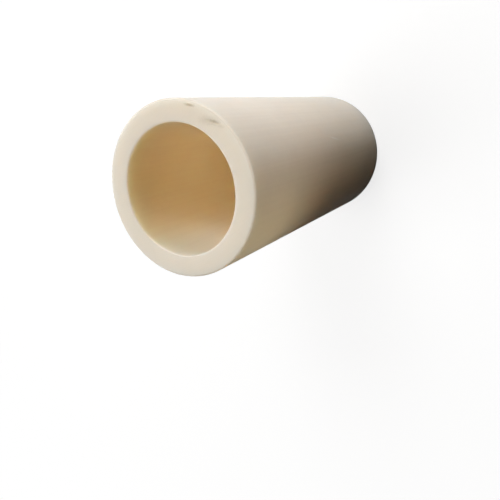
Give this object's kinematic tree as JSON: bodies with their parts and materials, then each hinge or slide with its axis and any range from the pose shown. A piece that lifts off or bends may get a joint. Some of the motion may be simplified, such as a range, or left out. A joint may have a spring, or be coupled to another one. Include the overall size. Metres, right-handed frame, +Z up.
{
  "type": "alumina tube",
  "caption": "Straight thick-walled tube of fired alumina ceramic, open at both ends, for lining, insulating or sheathing a hot, worn or live part.",
  "frame": {"origin": "middle of the lower end face, on the surface that the tube stands on", "axes": "+Z up along the tube's axis, towards the end with the two chips; -Y is the side that faces the picture's camera"},
  "size_m": [0.06, 0.06, 0.13],
  "materials": {
    "alumina": "fired and unglazed, warm cream, smooth with a soft sheen"
  },
  "bodies": {
    "root": {"alumina_tube": "alumina"}
  },
  "joints": []
}
